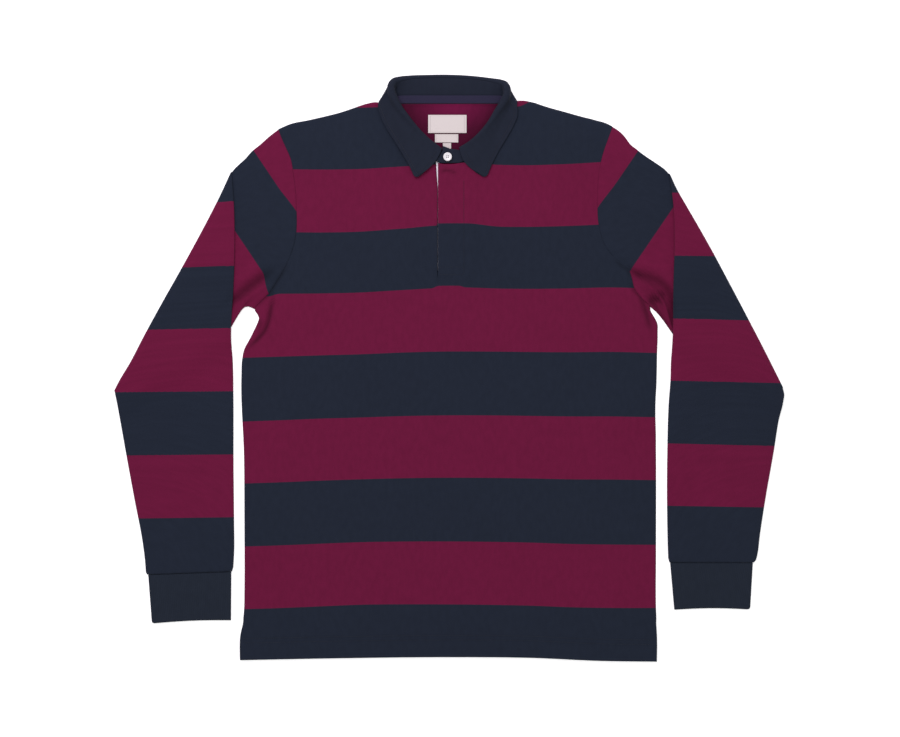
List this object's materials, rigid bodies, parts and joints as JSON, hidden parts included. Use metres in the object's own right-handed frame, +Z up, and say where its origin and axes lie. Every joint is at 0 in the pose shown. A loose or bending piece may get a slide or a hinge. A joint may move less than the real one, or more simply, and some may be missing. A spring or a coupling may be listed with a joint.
{
  "type": "rugby shirt",
  "caption": "Long-sleeved rugby shirt in wide hoops with a twill collar and a concealed placket, laid flat on its back with both sleeves folded down over the front.",
  "frame": {"origin": "centre of the laid-out shirt's outline, on the surface it lies on", "axes": "+X across the shirt towards the side whose front edge laps on top, +Y from the hem to the collar, +Z up from the surface"},
  "size_m": [0.8883, 0.7809, 0.0179],
  "materials": {
    "back_panel": "heavy jersey in burgundy and navy stripes",
    "front_panel": "heavy jersey in burgundy and navy stripes",
    "sleeve_left": "heavy jersey in burgundy and navy stripes",
    "sleeve_right": "heavy jersey in burgundy and navy stripes",
    "cuff_left": "ribbed cotton",
    "cuff_right": "ribbed cotton",
    "collar_leaf": "cotton twill, topstitched",
    "collar_stand": "cotton twill",
    "neck_tape": "herringbone tape",
    "neck_patch": "plain jersey",
    "fly_facing": "cotton twill",
    "label_main": "woven satin, left bare",
    "label_second": "woven satin, left bare",
    "label_size": "woven satin, left bare",
    "neck_button": "polished"
  },
  "bodies": {
    "root": {"back_panel": "back_panel", "front_panel": "front_panel", "sleeve_left": "sleeve_left", "sleeve_right": "sleeve_right", "cuff_left": "cuff_left", "cuff_right": "cuff_right", "collar_leaf": "collar_leaf", "collar_stand": "collar_stand", "neck_tape": "neck_tape", "neck_patch": "neck_patch", "fly_facing": "fly_facing", "label_main": "label_main", "label_second": "label_second", "label_size": "label_size", "neck_button": "neck_button"}
  },
  "joints": []
}
